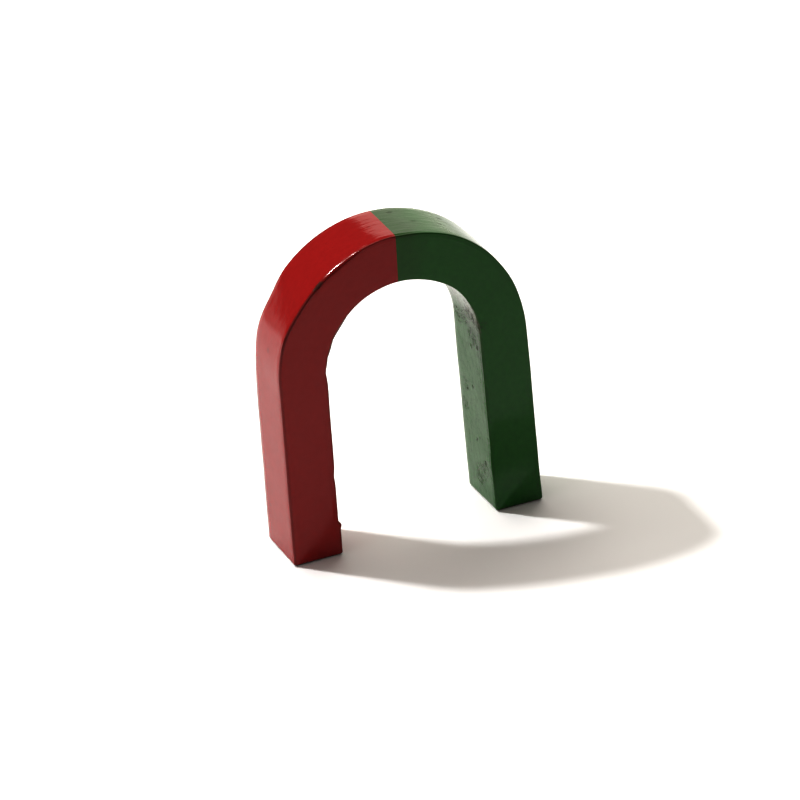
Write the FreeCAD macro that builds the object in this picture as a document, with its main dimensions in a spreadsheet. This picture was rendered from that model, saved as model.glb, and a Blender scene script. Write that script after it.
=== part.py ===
"""Horseshoe magnet: one bar of magnet steel bent to a U, standing on its two pole faces.

The bar has a rectangular section, deeper from front to back than it is thick across the
bend. It was bent hot round a former, so the outside and the inside of the bend are arcs
about one centre. The legs leave the bend in tangent and spring open a little towards the
poles. Both ends were ground together, so the pole faces lie in one plane.

The frame: the origin is on the floor midway between the two poles, X runs from the red
leg to the green leg, Y from front to back and Z up to the crown. Lengths are millimetres.
"""

import math
import os

import FreeCAD
import Part
import Sketcher

SIZES = {
    "overall_height": (100.0, "pole faces to the crown of the bend, in mm"),
    "bend_width": (80.0, "outside diameter of the bend, in mm"),
    "bar_thickness": (15.4, "the bar across the bend, from its inside to its outside, in mm"),
    "bar_depth": (20.7, "the bar from the front face to the back face, in mm"),
    "leg_lean": (0.9, "how far each leg springs open from upright, in degrees"),
    "edge_radius": (0.6, "rounding of the long edges, under the enamel, in mm"),
    "pole_edge_radius": (1.2, "rounding of the edges round each pole face, in mm"),
}

# Numbers by which a sketch knows the ends and the centre of a line or an arc
START, END, CENTRE = 1, 2, 3

# Numbers by which a sketch knows its own horizontal and vertical axes
FLOOR_LINE, MIDDLE_LINE = -1, -2


def make_size_sheet(doc):
    """Writes the driving dimensions to a spreadsheet, one row each, with an alias."""
    sheet = doc.addObject("Spreadsheet::Sheet", "Sizes")
    for row, (name, (value, meaning)) in enumerate(SIZES.items(), start=1):
        sheet.set(f"A{row}", name)
        sheet.set(f"B{row}", str(value))
        sheet.set(f"C{row}", meaning)
        sheet.setAlias(f"B{row}", name)
    doc.recompute()
    return sheet


def front_plane(body):
    """The body's own origin plane that faces the front."""
    return next(f for f in body.Origin.OriginFeatures if f.Role == "XZ_Plane")


def make_outline(body, sheet):
    """The U seen from the front: two arcs about one centre, four leg lines and two pole lines."""
    outer_radius = sheet.bend_width / 2
    inner_radius = outer_radius - sheet.bar_thickness
    centre_height = sheet.overall_height - outer_radius

    outline = body.newObject("Sketcher::SketchObject", "outline")
    outline.AttachmentSupport = (front_plane(body), "")
    outline.MapMode = "FlatFace"

    def add_arc(radius):
        """A half circle over the centre of the bend."""
        centre = FreeCAD.Vector(0, centre_height, 0)
        circle = Part.Circle(centre, FreeCAD.Vector(0, 0, 1), radius)
        return outline.addGeometry(Part.ArcOfCircle(circle, 0, math.pi))

    def add_leg_line(x):
        """One side of a leg, from the floor up to the end of its arc."""
        floor, top = FreeCAD.Vector(x, 0, 0), FreeCAD.Vector(x, centre_height, 0)
        return outline.addGeometry(Part.LineSegment(floor, top))

    def add_pole_line(side):
        """The pole face of one leg, from its outside to its inside."""
        outside = FreeCAD.Vector(side * outer_radius, 0, 0)
        inside = FreeCAD.Vector(side * inner_radius, 0, 0)
        return outline.addGeometry(Part.LineSegment(outside, inside))

    def tie(kind, *places):
        """A relation between lines, arcs and their points."""
        outline.addConstraint(Sketcher.Constraint(kind, *places))

    def size(name, expression, kind, *places_and_value):
        """A dimension that the sheet drives."""
        index = outline.addConstraint(Sketcher.Constraint(kind, *places_and_value))
        outline.renameConstraint(index, name)
        outline.setExpression(f"Constraints.{name}", expression)

    outer_arc, inner_arc = add_arc(outer_radius), add_arc(inner_radius)
    right_outside, right_inside = add_leg_line(outer_radius), add_leg_line(inner_radius)
    left_outside, left_inside = add_leg_line(-outer_radius), add_leg_line(-inner_radius)
    right_pole, left_pole = add_pole_line(1), add_pole_line(-1)

    # The bend stands over the middle of the floor line
    tie("Coincident", inner_arc, CENTRE, outer_arc, CENTRE)
    tie("PointOnObject", outer_arc, CENTRE, MIDDLE_LINE)
    size("centre_height", "Sizes.overall_height - Sizes.bend_width / 2",
         "DistanceY", FLOOR_LINE, START, outer_arc, CENTRE, centre_height)
    size("outer_radius", "Sizes.bend_width / 2", "Radius", outer_arc, outer_radius)
    size("inner_radius", "Sizes.bend_width / 2 - Sizes.bar_thickness",
         "Radius", inner_arc, inner_radius)

    # The legs run out of the arcs in tangent
    tie("Tangent", outer_arc, START, right_outside, END)
    tie("Tangent", inner_arc, START, right_inside, END)
    tie("Tangent", outer_arc, END, left_outside, END)
    tie("Tangent", inner_arc, END, left_inside, END)

    # Both sides of a leg lean alike, so the bar keeps its thickness down to the pole
    upright = math.pi / 2
    size("right_lean", "(90 + Sizes.leg_lean) * 1 deg", "Angle", right_outside, upright)
    size("left_lean", "(90 - Sizes.leg_lean) * 1 deg", "Angle", left_outside, upright)
    tie("Parallel", right_outside, right_inside)
    tie("Parallel", left_outside, left_inside)

    # The poles close the outline along the floor
    for pole, outside, inside in (
        (right_pole, right_outside, right_inside),
        (left_pole, left_outside, left_inside),
    ):
        tie("Coincident", pole, START, outside, START)
        tie("Coincident", pole, END, inside, START)
        tie("PointOnObject", outside, START, FLOOR_LINE)
        tie("PointOnObject", inside, START, FLOOR_LINE)
    return outline


def edges_where(feature, test):
    """Names of the feature's edges whose bounding box passes the test."""
    edges = enumerate(feature.Shape.Edges, start=1)
    return [f"Edge{number}" for number, edge in edges if test(edge.BoundBox)]


def round_edges(body, base, name, edges, radius_alias):
    """A fillet on the named edges of the base, with its radius from the sheet."""
    fillet = body.newObject("PartDesign::Fillet", name)
    fillet.Base = (base, edges)
    fillet.setExpression("Radius", f"Sizes.{radius_alias}")
    body.Document.recompute()
    return fillet


def make_magnet(doc, sheet):
    """The bent bar: the outline as deep as the bar, then all of its edges rounded."""
    flat = 1e-4
    body = doc.addObject("PartDesign::Body", "magnet")
    body.Label = "magnet"

    bar = body.newObject("PartDesign::Pad", "bent_bar")
    bar.Profile = make_outline(body, sheet)
    bar.Midplane = True
    bar.setExpression("Length", "Sizes.bar_depth")
    doc.recompute()

    round_poles = edges_where(bar, lambda box: box.ZMax < flat)
    poles = round_edges(body, bar, "pole_edges", round_poles, "pole_edge_radius")

    # The long edges run up the front face and the back face
    along_bar = edges_where(poles, lambda box: box.YLength < flat < box.ZLength)
    round_edges(body, poles, "long_edges", along_bar, "edge_radius")
    return body


def check(doc, bodies):
    """Stops the build if an object failed or a piece is not one sound solid."""
    doc.recompute()
    for item in doc.Objects:
        if {"Invalid", "Error"} & set(item.State):
            raise RuntimeError(f"{item.Name} failed: {item.State}")
    for body in bodies:
        shape = body.Shape
        if shape.isNull() or not shape.isValid() or len(shape.Solids) != 1:
            raise RuntimeError(f"{body.Label} is not one valid solid")


def export(bodies):
    """Writes each piece to a STEP file under its own name, and prints what it measures."""
    os.makedirs("parts", exist_ok=True)
    for body in bodies:
        body.Shape.exportStep(f"parts/{body.Label}.step")
        box = body.Shape.optimalBoundingBox()
        print(
            f"{body.Label}: {box.XLength:.2f} x {box.YLength:.2f} x {box.ZLength:.2f} mm, "
            f"{body.Shape.Volume / 1000:.2f} cm3"
        )


doc = FreeCAD.newDocument("horseshoe_magnet")
bodies = [make_magnet(doc, make_size_sheet(doc))]
check(doc, bodies)
export(bodies)
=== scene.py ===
"""The looks of the horseshoe magnet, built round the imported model.

One bent bar, enamelled red on one half and green on the other, stands on white paper under
studio light. The scene is in metres. The bar is worked out in millimetres, in which a maker
would measure it, and MM turns them into metres.
"""

import math

import bpy
import numpy as np
from mathutils import Matrix, Vector


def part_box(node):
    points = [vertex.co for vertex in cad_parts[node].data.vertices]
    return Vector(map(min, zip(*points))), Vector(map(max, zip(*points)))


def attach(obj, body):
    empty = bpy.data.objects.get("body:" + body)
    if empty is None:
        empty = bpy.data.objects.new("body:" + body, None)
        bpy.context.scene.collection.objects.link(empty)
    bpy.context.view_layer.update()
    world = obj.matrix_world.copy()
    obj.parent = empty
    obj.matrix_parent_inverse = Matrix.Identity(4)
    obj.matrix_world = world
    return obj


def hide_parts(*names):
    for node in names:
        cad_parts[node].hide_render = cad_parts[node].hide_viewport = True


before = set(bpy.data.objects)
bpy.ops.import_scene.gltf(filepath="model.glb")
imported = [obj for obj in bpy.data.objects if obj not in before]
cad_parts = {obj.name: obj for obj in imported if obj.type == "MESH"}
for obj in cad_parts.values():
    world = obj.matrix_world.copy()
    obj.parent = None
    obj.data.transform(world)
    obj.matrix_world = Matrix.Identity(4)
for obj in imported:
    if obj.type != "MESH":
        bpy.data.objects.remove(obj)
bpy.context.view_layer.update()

# The bent bar
# One bar of magnet steel with a rectangular section, bent hot to a U. The bend was dressed by
# hand, so its edges dip and swell along it, and a run of enamel has set hard at the red foot.

MM = 0.001

bar_low, bar_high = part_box("magnet")
crown_height = bar_high.z / MM
half_depth = (bar_high.y - bar_low.y) / 2 / MM
half_thickness = 7.7
bend_radius = 40
leg_lean = math.radians(0.9)

mid_radius = bend_radius - half_thickness
bend_centre = crown_height - bend_radius
bend_reach = mid_radius * (math.pi / 2 - leg_lean)
leg_length = (bend_centre + mid_radius * math.sin(leg_lean)) / math.cos(leg_lean)
bar_reach = bend_reach + leg_length

# The roundings of the long edges, and of the edges round each pole face
edge_radius = 0.6
pole_radius = 0.8
front_outer_pole_radius = 1.0
front_inner_pole_radius_red = 0.9
front_inner_pole_radius_green = 1.4

# Each side bulges by the crowning, most of which is there at its reach from a corner. The
# bulge and the waviness fade out over their own lengths above a pole face.
crowning = 0.03
crowning_reach = 1.0
crowning_fade = 4
waviness_fade = 5

# How many sections and points the skin has
rows_along = 660
rows_at_pole = 12
points_round_corner = 9
points_across_thickness = 20
points_across_depth = 26


def dents(along, *marks):
    """Dips and swellings of an edge. Each mark has a place along the bar, a width and a height.

    It adds its height times e to the power of minus the square of the distance from its
    place, counted in widths.
    """
    return sum(rise * np.exp(-(((along - place) / width) ** 2)) for place, width, rise in marks)


def stretch(along, start, end, fade, rise):
    """A stretch that stands out by its rise, and fades at both ends as a hyperbolic tangent."""
    return rise * (np.tanh((along - start) / fade) - np.tanh((along - end) / fade)) / 2


def flats(along, kinks, rise):
    """Hammered flats between neighbouring kinks: parabolas that rise in the middle of each."""
    share = np.interp(along, kinks, np.arange(len(kinks))) % 1
    return 4 * rise * share * (1 - share)


def off_pole(along, fade):
    """0 at a pole face, and 1 where the pole face is farther away than the fade."""
    return np.clip((bar_reach - np.abs(along)) / fade, 0, 1)


def mid_line(along):
    """The middle of the bar and its outward direction, in the plane of the U.

    On the bend, the angle from upright is the length along the bar over the middle radius.
    Beyond it the leg runs straight, and the outward direction turns level by the time it
    meets the floor, so that the last section lies flat on it.
    """
    side = np.sign(along)
    angle = np.clip(along, -bend_reach, bend_reach) / mid_radius
    down = np.maximum(np.abs(along) - bend_reach, 0)
    x = mid_radius * np.sin(angle) + side * down * math.sin(leg_lean)
    z = bend_centre + mid_radius * np.cos(angle) - down * math.cos(leg_lean)
    turn = side * leg_lean * down / leg_length
    return x, z, np.sin(angle + turn), np.cos(angle + turn)


def bar_rows():
    """Lengths along the bar from the crown, less than 0 on the red half.

    They are even over most of the bar, and follow a quarter circle at each pole.
    """
    widest = front_inner_pole_radius_green
    pole = widest * (1 - np.cos(np.linspace(0, math.pi / 2, rows_at_pole)))
    middle = np.linspace(-bar_reach + pole[-1], bar_reach - pole[-1], rows_along)
    return np.concatenate([-bar_reach + pole[:-1], middle, bar_reach - pole[-2::-1]])


def edge_wear(along):
    """How far the bar stands out past its true thickness at each of its four long edges.

    Places are lengths along the bar from the crown, less than 0 on the red half.
    """
    front_outer = (
        stretch(along, -31.8, -10.5, 2.8, -0.82)
        + stretch(along, -115, -47, 4, -0.14)
        + stretch(along, 55, 115, 5, 0.08)
        + dents(along, (-108, 2, -0.15), (-38, 6, 0.2), (-34, 3.5, -0.3), (-23, 1.4, -0.15))
        + dents(along, (-2, 2.5, 0.15), (3, 5, -0.25), (10, 5, -0.1), (18, 7, 0.2))
        + dents(along, (32, 4, -0.15), (43, 6.5, -0.35), (92, 6, 0.08), (109, 5, 0.25))
    )
    enamel_run = stretch(along, -112, -99.8, 0.4, 0.6) + dents(along, (-100.9, 0.8, 0.3))
    front_inner = (
        enamel_run
        + flats(along, (-49, -42.5, -35, -24), 0.22)
        + stretch(along, 52, 112, 3, -0.12)
        + dents(along, (-84, 2, -0.25), (-48, 3, -0.3), (-45, 5, -0.18), (-28, 3, 0.12))
        + dents(along, (-16, 5, -0.15), (0, 12, -0.25), (26, 13, -0.7), (44, 5, -0.15))
        + dents(along, (46, 3, 0.25), (95, 5, 0.25))
    )
    back_inner = stretch(along, -28, 34, 5, -0.3) + dents(along, (45, 8, -0.12), (92, 10, 0.08))
    back_outer = (
        stretch(along, -115, -55, 5, 0.12)
        + dents(along, (-47, 4, -0.17), (-34, 17, -0.4), (-32.5, 5, -0.65), (8, 14, -0.08))
    )
    return front_outer, front_inner, back_inner, back_outer


def corner_arcs(along):
    """The rounded corners of the section in each row, as outward and depth, with their normals.

    A corner is a quarter circle. Near the pole its centre draws in as a quarter circle does:
    by the radius at the pole, less the root of its square less the square of the height
    that is missing to it. The front outer corner is sharper from the crown to the green leg,
    and blunter where it was struck on the red side.
    """
    sharper = stretch(along, -8, 45, 4, -0.2)
    blunter = dents(along, (-16.5, 2.5, 0.3), (-23, 1.6, 0.1))
    front_inner_pole_radius = np.where(
        along > 0, front_inner_pole_radius_green, front_inner_pole_radius_red
    )
    front_outer, front_inner, back_inner, back_outer = edge_wear(along)
    corners = (
        (1, -1, front_outer, edge_radius + sharper + blunter, front_outer_pole_radius),
        (-1, -1, front_inner, edge_radius, front_inner_pole_radius),
        (-1, 1, back_inner, edge_radius, pole_radius),
        (1, 1, back_outer, edge_radius, pole_radius),
    )
    to_pole = bar_reach - np.abs(along)
    steps = np.linspace(0, math.pi / 2, points_round_corner)
    arcs, normals = [], []
    for number, (outside, behind, wider, radius, at_pole) in enumerate(corners):
        missing = np.maximum(at_pole - to_pole, 0)
        inset = at_pole - np.sqrt(at_pole**2 - missing**2)
        turn = -number * math.pi / 2 - steps
        normal = np.stack([np.cos(turn), np.sin(turn)], -1)
        outward = outside * (half_thickness + wider - inset - radius)
        depth = behind * (half_depth - inset - radius)
        radii = np.broadcast_to(radius, along.shape)[:, None, None]
        arcs.append(np.stack([outward, depth], -1)[:, None] + radii * normal)
        normals.append(normal)
    return arcs, normals


def section(along):
    """The bar's section in each row, as outward and depth, with its normals and edge gaps.

    A side runs from each corner to the next, with points that lie closer together near both.
    It bulges by the crowning times 1 less e to the power of minus the distance from each
    corner, counted in reaches. The bulge fades out at the poles. The edge gap is how far a
    point is from the nearest rounding, and on a rounding it is less than 0.
    """
    arcs, normals = corner_arcs(along)
    fade = off_pole(along, crowning_fade)[:, None, None]
    steps = np.linspace(0, math.pi / 2, points_round_corner)
    arc_gap = np.broadcast_to(
        -edge_radius * np.minimum(steps, math.pi / 2 - steps), (len(along), len(steps))
    )
    places, directions, gaps = [], [], []
    for number, (arc, normal) in enumerate(zip(arcs, normals)):
        last, following = arc[:, -1:], arcs[(number + 1) % 4][:, :1]
        count = points_across_depth if number % 2 else points_across_thickness
        share = (1 - np.cos(np.linspace(0, math.pi, count)[1:-1, None])) / 2
        length = np.linalg.norm(following - last, axis=-1, keepdims=True)
        near_gap, far_gap = share * length, (1 - share) * length
        bulge = (1 - np.exp(-near_gap / crowning_reach)) * (1 - np.exp(-far_gap / crowning_reach))
        side = last * (1 - share) + following * share + crowning * bulge * fade * normal[-1]
        places += [arc, side]
        directions += [normal, np.repeat(normal[-1:], count - 2, 0)]
        gaps += [arc_gap, np.minimum(near_gap, far_gap)[..., 0]]
    return np.concatenate(places, 1), np.concatenate(directions), np.concatenate(gaps, 1)


def waviness(along, outward, depth):
    """The unevenness of a hand-finished bar: a few long sine waves that cross at angles."""
    total = 0
    for lengthwise, outwards, across, phase, height in (
        (31, 60, 47, 0.4, 0.022),
        (19, -43, 33, 2.1, 0.014),
        (12.5, 38, -41, 4.0, 0.008),
        (8.3, -21, 17, 1.3, 0.004),
    ):
        wave = along / lengthwise + outward / outwards + depth / across
        total = total + height * np.sin(2 * math.pi * wave + phase)
    return total


def make_bar():
    """The bar's skin: a grid of sections along the bar, closed by one face at each pole."""
    along = bar_rows()
    places, normals, edge_gap = section(along)
    wave = waviness(along[:, None], places[..., 0], places[..., 1])
    wave = wave * off_pole(along, waviness_fade)[:, None]
    places = places + wave[..., None] * normals

    x, z, out_x, out_z = (value[:, None] for value in mid_line(along))
    outward, depth = places[..., 0], places[..., 1]
    grid = np.stack([x + outward * out_x, depth, z + outward * out_z], -1) * MM

    rows, columns = grid.shape[:2]
    number = np.arange(rows * columns).reshape(rows, columns)
    following = np.roll(number, -1, 1)
    quads = np.stack([number[:-1], following[:-1], following[1:], number[1:]], -1)
    poles = [number[0, ::-1].tolist(), number[-1].tolist()]

    mesh = bpy.data.meshes.new("enamelled_bar")
    mesh.from_pydata(grid.reshape(-1, 3).tolist(), [], quads.reshape(-1, 4).tolist() + poles)
    mesh.shade_smooth()

    # Where each point is on the straight bar: along it, outward and in depth, in millimetres
    on_bar = np.stack([np.broadcast_to(along[:, None], outward.shape), outward, depth], -1)
    bar_place = mesh.attributes.new("bar_place", "FLOAT_VECTOR", "POINT")
    bar_place.data.foreach_set("vector", on_bar.astype(np.float32).ravel())
    gap = mesh.attributes.new("edge_gap", "FLOAT", "POINT")
    gap.data.foreach_set("value", edge_gap.astype(np.float32).ravel())
    mesh.update()
    return mesh


bar = bpy.data.objects.new("enamelled_bar", make_bar())
bpy.context.scene.collection.objects.link(bar)
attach(bar, "root")
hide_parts("magnet")

# The enamel
# Glossy oil enamel, brushed on along the bar in two colours that meet at the crown. Its edges
# are darkened with painted shade and some dirt. It is scuffed inside the bend and chipped, and
# the ground pole faces are bare.


class Socket:
    """An output in a shader tree. Arithmetic on it adds Math nodes."""

    tree = None

    def __init__(self, output):
        self.output = output

    @classmethod
    def node(cls, kind, settings=None, values=None, output=0):
        """Adds a node, gives it its settings and then the values or links of its sockets."""
        new = cls.tree.nodes.new("ShaderNode" + kind)
        for name, setting in (settings or {}).items():
            setattr(new, name, setting)
        for name, value in (values or {}).items():
            if isinstance(value, Socket):
                cls.tree.links.new(value.output, new.inputs[name])
            else:
                new.inputs[name].default_value = value
        if isinstance(output, tuple):
            return tuple(cls(new.outputs[each]) for each in output)
        return cls(new.outputs[output])

    def math(self, operation, *others):
        """Adds a Math node that works on the value and the others."""
        values = dict(enumerate((self, *others)))
        return Socket.node("Math", {"operation": operation}, values)

    def __add__(self, other):
        return self.math("ADD", other)

    def __sub__(self, other):
        return self.math("SUBTRACT", other)

    def __mul__(self, other):
        return self.math("MULTIPLY", other)

    def __neg__(self):
        return self.math("MULTIPLY", -1)

    def __rsub__(self, other):
        return Socket.node("Math", {"operation": "SUBTRACT"}, {0: other, 1: self})

    __radd__, __rmul__ = __add__, __mul__

    def size(self):
        """The value without its sign."""
        return self.math("ABSOLUTE")

    def at_least(self, low):
        return self.math("MAXIMUM", low)

    def at_most(self, high):
        return self.math("MINIMUM", high)

    def step(self, low, high):
        """A soft step: 0 below low, 1 above high."""
        values = {"Value": self, "From Min": low, "From Max": high}
        return Socket.node("MapRange", {"interpolation_type": "SMOOTHSTEP"}, values)


def blend_colours(share, first, second):
    """The first colour where share is 0, and the second where it is 1."""
    return Socket.node("Mix", {"data_type": "RGBA"}, {0: share, 6: first, 7: second}, 2)


def vector_sum(first, second):
    return Socket.node("VectorMath", {"operation": "ADD"}, {0: first, 1: second})


def vector_times(first, second):
    return Socket.node("VectorMath", {"operation": "MULTIPLY"}, {0: first, 1: second})


def noise(place, scales, detail=3.0, roughness=0.5):
    """Soft noise about 0.5, over a place that is first multiplied by the scales."""
    values = {"Vector": vector_times(place, scales), "Scale": 1.0}
    values |= {"Detail": detail, "Roughness": roughness}
    return Socket.node("TexNoise", values=values)


def noise_colour(place, scale):
    """Three soft noises about 0.5, in one vector."""
    values = {"Vector": place, "Scale": scale, "Detail": 3.0, "Roughness": 0.6}
    return Socket.node("TexNoise", values=values, output=1)


def near(place, centre, reach, scales=(1, 1, 1)):
    """1 at the centre, fading to 0 at the reach, over a space multiplied by the scales."""
    if scales != (1, 1, 1):
        place = vector_times(place, scales)
        centre = tuple(value * scale for value, scale in zip(centre, scales))
    distance = Socket.node("VectorMath", {"operation": "DISTANCE"}, {0: place, 1: centre}, 1)
    return 1 - distance.step(reach * 0.45, reach)


def spots(place, marks):
    """Soft spots, each with its centre on the bar, its reach and its strength."""
    total = 0
    for centre, reach, strength in marks:
        total = near(place, centre, reach) * strength + total
    return total


def rgb(red, green, blue):
    return (red, green, blue, 1.0)


class Skin:
    """Maps over the bar that several parts of the enamel share.

    Places are on the straight bar, in millimetres: along it, outward from its middle, and in
    depth from front to back. The clouds, the mottle and the streaks are longer along the bar,
    as the brush went. x is the place across the U, in millimetres towards the green leg.
    """

    def __init__(self):
        self.place = Socket.node("Attribute", {"attribute_name": "bar_place"}, output=1)
        parts = Socket.node("SeparateXYZ", values={0: self.place}, output=(0, 1, 2))
        self.along, self.outward, self.depth = parts
        self.edge_gap = Socket.node("Attribute", {"attribute_name": "edge_gap"}, output=2)
        self.x = Socket.node("SeparateXYZ", values={0: Socket.node("TexCoord", output=3)}) * (1 / MM)

        self.clouds = noise(self.place, (0.10, 0.13, 0.13), 2.0)
        self.mottle = noise(self.place, (0.45, 0.6, 0.6), 4.0, 0.6)
        self.ragged = noise(self.place, (1.6, 1.6, 1.6), 3.0, 0.6)
        self.streaks = noise(self.place, (0.05, 0.75, 0.75), 2.0)

        # The same places, pushed about by noise, which makes the outlines of marks ragged
        push = vector_sum(noise_colour(self.place, 0.9), (-0.5, -0.5, -0.5))
        self.near_place = vector_sum(self.place, vector_times(push, (1.6, 1.6, 1.6)))
        self.far_place = vector_sum(self.place, vector_times(push, (5.0, 5.0, 5.0)))

        # The inside of the U, and the pole faces, which a stone has scratched in one direction
        self.inside = (-self.outward).step(7.0, 7.5)
        self.bare = self.along.size().step(bar_reach - 0.55, bar_reach - 0.35)
        self.grinding = noise(self.place, (1.0, 0.35, 9.0), 3.0, 0.6)


# The marks that only the bend has fade out between these two lengths from the crown
bend_marks_end = (38, 50)


def two_colours(skin):
    """Red and green enamel. Their line was masked by hand, so it slants and steps a little.

    The green of the crown has gone dull, more so on the outside of the bend. Along the sharp
    edges the colour is darkened: painted shade for the dark line of the roundings, with some
    dirt in it, most of all on the red side of the bend.
    """
    red = blend_colours(skin.mottle, rgb(0.260, 0.0120, 0.0115), rgb(0.330, 0.0170, 0.0160))
    green = blend_colours(skin.mottle, rgb(0.011, 0.088, 0.011), rgb(0.021, 0.125, 0.016))
    masked = skin.outward * 0.026 + skin.depth.step(-10.2, -8.5) * 0.15 + 0.2
    green_side = (skin.x - masked + (skin.ragged - 0.5) * 0.12).step(-0.09, 0.09)
    colour = blend_colours(green_side, red, green)

    dull = (1 - (skin.along + (skin.clouds - 0.5) * 8).step(4, 11)) * green_side
    dull = dull * (skin.outward.step(6.5, 7.0) * 0.3 + 0.3)
    colour = blend_colours(dull, colour, rgb(0.026, 0.050, 0.010))

    # Painted shade with some dirt: the roundings are darkened towards near black, most on the red
    # side of the bend
    shaded_edge = 1 - (skin.edge_gap + (skin.ragged - 0.5) * 0.6).step(-0.2, 0.4)
    edge_shade_and_dirt = (1 - (skin.along + 33).size().step(6, 13)) * 0.25 - green_side * 0.15 + 0.30
    return blend_colours(shaded_edge * edge_shade_and_dirt, colour, rgb(0.012, 0.006, 0.004))


def scuffs(skin):
    """How pale the inside of the bend is scuffed. The scuffs reach farther down at the front."""
    from_crown = skin.along.size() + skin.depth * 0.55 + (skin.clouds - 0.5) * 16
    scratches = noise(skin.place, (0.22, 0.6, 0.6), 4.0, 0.6).step(0.40, 0.62)
    return skin.inside * (1 - from_crown.step(*bend_marks_end)) * (scratches * 0.5 + 0.12)


# Flecks of dirt gather in smudges, most of them below the scuffs and near the feet
smudge_marks = (
    ((43.0, -7.7, -5.0), 4.6, 0.55),
    ((46.0, -7.7, -8.5), 4.0, 0.45),
    ((48.5, -7.7, 5.5), 5.0, 0.50),
    ((47.5, -7.7, 0.5), 4.0, 0.40),
    ((53.0, -7.7, -3.5), 4.2, 0.45),
    ((72.5, -7.7, 4.5), 3.4, 0.35),
    ((80.5, -7.7, 6.9), 3.0, 0.3),
    ((98.0, -7.7, -5.6), 3.6, 0.35),
    ((101.0, -7.7, -1.5), 5.2, 0.35),
    ((-47.0, -7.7, 3.0), 5.0, 0.45),
    ((-52.0, -7.7, -4.0), 4.0, 0.4),
    ((60.0, 7.7, 6.5), 4.5, 0.3),
    ((101.0, 2.0, 10.4), 5.0, 0.3),
    ((-104.0, -3.0, 10.4), 4.5, 0.3),
)

# Small pits and specks, on the sides that the camera sees and on those that it doesn't
speck_marks = (
    ((-43.8, 7.7, -0.3), 0.9, 0.28),
    ((-3.2, 7.7, -0.4), 0.7, 0.15),
    ((4.5, 7.7, 6.6), 1.0, 0.35),
    ((8.0, 7.7, -1.1), 1.2, 0.25),
    ((15.0, 7.7, -1.6), 0.8, 0.3),
    ((17.0, 7.7, 4.3), 1.0, 0.35),
    ((55.4, -7.7, -7.0), 1.1, 0.6),
    ((56.8, -7.7, -2.2), 1.0, 0.45),
    ((71.5, -7.7, -0.6), 0.9, 0.7),
    ((74.0, -7.7, 3.9), 0.9, 0.5),
    ((81.5, -7.7, 6.9), 0.8, 0.4),
    ((90.0, -7.7, -0.2), 0.8, 0.65),
    ((95.5, -7.7, -5.7), 1.0, 0.5),
    ((-58.0, -7.7, 2.4), 1.1, 0.5),
    ((-88.0, -7.7, -4.0), 0.9, 0.5),
    ((39.0, 7.7, 2.0), 1.0, 0.4),
    ((66.0, 7.7, -4.5), 0.9, 0.5),
    ((97.0, 7.7, 5.0), 1.2, 0.4),
    ((-97.0, 7.7, 6.0), 0.9, 0.25),
    ((22.0, 2.0, 10.4), 1.0, 0.5),
    ((83.0, -3.0, 10.4), 1.1, 0.5),
    ((-35.0, -2.5, 10.4), 1.2, 0.5),
    ((-79.0, 4.0, 10.4), 0.9, 0.5),
)

# A stain in the form of a ring near the green foot, longer in depth than along the bar
stain_centre = (104.0, -7.7, 0.5)
stain_scales = (1.0, 1.0, 0.6)
stain_outer_reach = 2.0
stain_inner_reach = 1.1

# A chip on the front edge of the red side, longer along the bar, down to dark, oxidised steel
chip_centre = (-22.5556, 6.8, -9.9)
chip_scales = (0.45, 1.0, 1.0)
chip_reach = 1.0

# A blow has flattened the front edge of the red side. The flat leans to the front, so that it
# catches the lamp. Its ends fade between two distances from its middle, and it runs on past
# the edge by a share of its width.
flat_middle = -16.4
flat_ends = (4, 8)
flat_width = 0.65
flat_past_edge = 0.35
flat_slope = 0.24


def blow(skin):
    """How far the flat lies below the bar's true surface.

    It is the flat's slope times the distance from its border towards the edge.
    """
    width = (1 - (skin.along - flat_middle).size().step(*flat_ends)) * flat_width
    from_border = (width - skin.edge_gap).at_least(0).at_most(width * (1 + flat_past_edge))
    on_edge = skin.outward.step(5.0, 5.5) * skin.depth.step(-10.40, -10.30)
    return from_border * on_edge * flat_slope


def brushed_relief(skin):
    """The height of the enamel in millimetres: orange peel, and brush strokes on the bend.

    It fades out towards the edges, where the enamel is thin.
    """
    strokes = noise(skin.place, (0.26, 0.8, 0.8), 2.0)
    grain = noise(skin.place, (1.0, 1.3, 1.3), 1.0)
    lumps = noise(skin.place, (0.32, 0.42, 0.42), 1.5, 0.4)
    on_bend = skin.outward.step(6.0, 6.5) * (1 - skin.along.size().step(*bend_marks_end))
    height = skin.clouds * 0.050 + skin.streaks * 0.020 + lumps * 0.040 + grain * 0.012
    return (height + on_bend * strokes * 0.075) * skin.edge_gap.step(0.0, 1.4)


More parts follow.
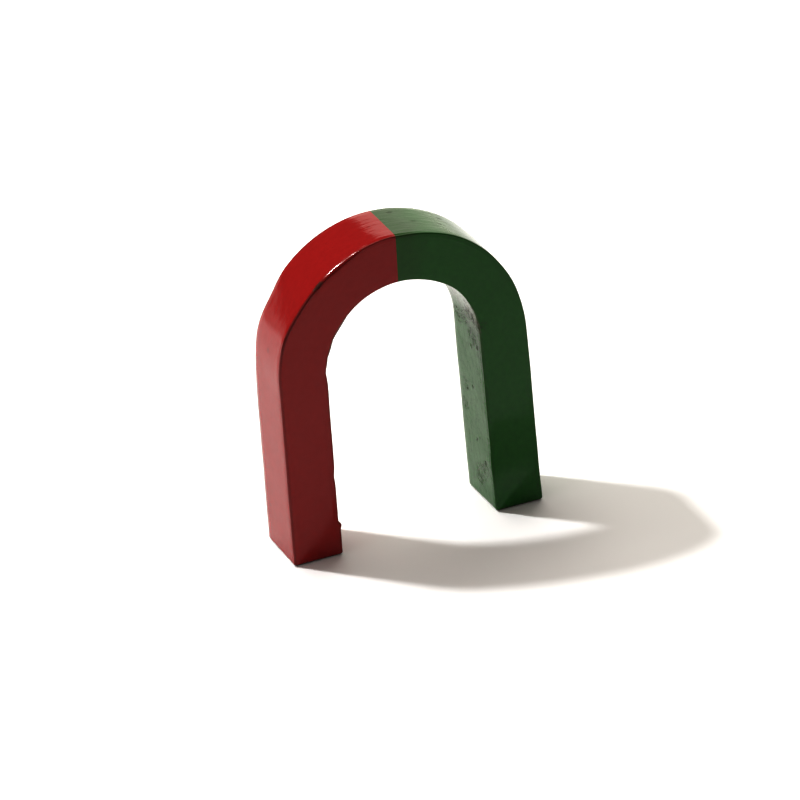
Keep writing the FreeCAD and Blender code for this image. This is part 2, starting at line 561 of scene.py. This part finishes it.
def make_enamel():
    """Enamel and bare steel in one shader, and matte dirt that lies on it in a second."""
    material = bpy.data.materials.new("enamel")
    material.use_nodes = True
    tree = material.node_tree
    tree.nodes.clear()
    Socket.tree = tree
    skin = Skin()

    flecks = noise(skin.place, (0.7, 0.9, 0.9), 4.0, 0.65).step(0.42, 0.60)
    smudges = spots(skin.far_place, smudge_marks) * (flecks * 0.85 + 0.15)
    specks = spots(skin.near_place, speck_marks)
    stain = near(skin.near_place, stain_centre, stain_outer_reach, stain_scales)
    stain = stain - near(skin.near_place, stain_centre, stain_inner_reach, stain_scales)
    chip = near(skin.near_place, chip_centre, chip_reach, chip_scales)
    pale = scuffs(skin)

    colour = blend_colours(pale, two_colours(skin), rgb(0.24, 0.215, 0.185))
    colour = blend_colours(chip * 0.65, colour, rgb(0.050, 0.020, 0.012))
    steel = blend_colours(skin.grinding, rgb(0.33, 0.32, 0.30), rgb(0.47, 0.46, 0.43))
    colour = blend_colours(skin.bare, colour, steel)
    roughness = skin.streaks * 0.05 + 0.095 + pale * 0.2
    roughness = roughness + skin.bare * (skin.grinding * 0.2 + 0.15)

    height = brushed_relief(skin) * (1 - skin.bare) + skin.bare * skin.grinding * 0.004
    height = height - blow(skin) - smudges * 0.02 - specks * 0.03 - chip * 0.03
    relief = Socket.node("Bump", values={"Height": height, "Strength": 1.0, "Distance": MM})
    values = {
        "Base Color": colour,
        "Roughness": roughness,
        "Metallic": skin.bare,
        "IOR": 1.40,
        "Normal": relief,
    }
    enamel = Socket.node("BsdfPrincipled", values=values)

    # Dirt takes away the gloss. Inside the U it is also a thin film all over.
    values = {
        "Base Color": rgb(0.035, 0.033, 0.026),
        "Roughness": 0.8,
        "Specular IOR Level": 0.1,
        "Normal": relief,
    }
    dirt = Socket.node("BsdfPrincipled", values=values)
    film = skin.inside * skin.mottle.step(0.45, 0.70) * 0.15
    soiled = (smudges + specks + stain * 0.35 + film + chip * 0.40).at_most(0.85)
    surface = Socket.node("MixShader", values={0: soiled, 1: enamel, 2: dirt})
    output = tree.nodes.new("ShaderNodeOutputMaterial")
    tree.links.new(surface.output, output.inputs["Surface"])
    return material


bar.data.materials.append(make_enamel())

# The floor
# White paper, which runs far past the magnet on all sides. It is so well lit that it shows
# pure white round the magnet's shadow.

floor_half = 2.4
floor_corners = [(-floor_half, -floor_half, 0), (floor_half, -floor_half, 0)]
floor_corners += [(floor_half, floor_half, 0), (-floor_half, floor_half, 0)]
floor_mesh = bpy.data.meshes.new("floor")
floor_mesh.from_pydata(floor_corners, [], [(0, 1, 2, 3)])
floor = bpy.data.objects.new("floor", floor_mesh)
bpy.context.scene.collection.objects.link(floor)

paper = bpy.data.materials.new("white_paper")
paper.use_nodes = True
shader = paper.node_tree.nodes["Principled BSDF"]
shader.inputs["Base Color"].default_value = rgb(0.93, 0.93, 0.93)
shader.inputs["Roughness"].default_value = 0.9
shader.inputs["Specular IOR Level"].default_value = 0.0
floor_mesh.materials.append(paper)

# The light
# A small key lamp behind on the left throws the shadow. Soft panels hang over the magnet and
# behind it, and a weaker one fills the left. White walls on the right, and far behind on the
# left, show in the gloss of the enamel.


def add_lamp(name, place, aim, size, radiance, colour, shape="RECTANGLE"):
    """A flat lamp at a place, turned to its aim. Its power is its radiance times pi times area."""
    lamp = bpy.data.lights.new(name, "AREA")
    lamp.shape = shape
    lamp.size, lamp.size_y = size
    area = size[0] * size[1] * (math.pi / 4 if shape == "ELLIPSE" else 1)
    lamp.energy = radiance * math.pi * area
    lamp.color = colour
    light = bpy.data.objects.new(name, lamp)
    turn = (Vector(aim) - Vector(place)).to_track_quat("-Z", "Y").to_matrix().to_4x4()
    light.matrix_world = Matrix.Translation(place) @ turn
    light.visible_camera = False
    bpy.context.scene.collection.objects.link(light)


# The key gives a surface that faces it at the magnet this much light, in watts per square metre
key_irradiance = 0.76 * math.pi
key_place = Vector((-0.530, 0.518, 1.066))
key_size = 0.09
key_area = math.pi / 4 * key_size**2
key_radiance = key_irradiance * key_place.length_squared / key_area
add_lamp("key", key_place, (0, 0, 0), (key_size, key_size), key_radiance, (1, 1, 1), "ELLIPSE")
add_lamp("overhead", (0.15, 0.5, 1.4), (0.05, 0.3, 0), (1.0, 1.0), 3.4, (1, 0.955, 0.885))
add_lamp("low_wall", (0.73, 1.08, 0.20), (0, 0, 0.20), (1.1, 0.5), 1.3, (1, 0.96, 0.86))
add_lamp("high_wall", (0.73, 1.08, 0.70), (0, 0, 0.70), (1.1, 0.5), 1.6, (1, 0.96, 0.88))
add_lamp("back_panel", (-0.5, 0.9, 1.6), (-0.5, 0.8, 0), (1.2, 0.8), 2.5, (1, 0.97, 0.90))
add_lamp("far_wall", (-1.05, 1.93, 0.05), (0, 0, 0.05), (1.0, 0.3), 0.8, (1, 0.97, 0.92))
add_lamp("left_panel", (-1.1, 0.0, 0.7), (0, 0, 0), (1.0, 0.8), 1.2, (1, 0.97, 0.92))

room = bpy.data.worlds.new("room")
room.use_nodes = True
room.node_tree.nodes["Background"].inputs["Color"].default_value = rgb(0.22, 0.20, 0.19)
room.node_tree.nodes["Background"].inputs["Strength"].default_value = 1.0
bpy.context.scene.world = room

# The camera
# It looks down on the magnet from the front on the left, from about 1.4 metres away.

camera_place = Vector((-421.0, -1124.8, 665.5)) * MM
camera_aim = Vector((1.3, 0.0, 40.7)) * MM
camera_roll = math.radians(4.88)

camera = bpy.data.objects.new("camera", bpy.data.cameras.new("camera"))
camera.data.sensor_width = 36
camera.data.lens = 202.5
camera.data.clip_start, camera.data.clip_end = 0.05, 20
level = (camera_aim - camera_place).to_track_quat("-Z", "Y").to_matrix().to_4x4()
rolled = level @ Matrix.Rotation(-camera_roll, 4, "Z")
camera.matrix_world = Matrix.Translation(camera_place) @ rolled
bpy.context.scene.collection.objects.link(camera)
bpy.context.scene.camera = camera

# The picture's contrast
# The plain view transform, with its middle tones deepened as a print's are.

view = bpy.context.scene.view_settings
view.view_transform = "Standard"
view.gamma = 0.667
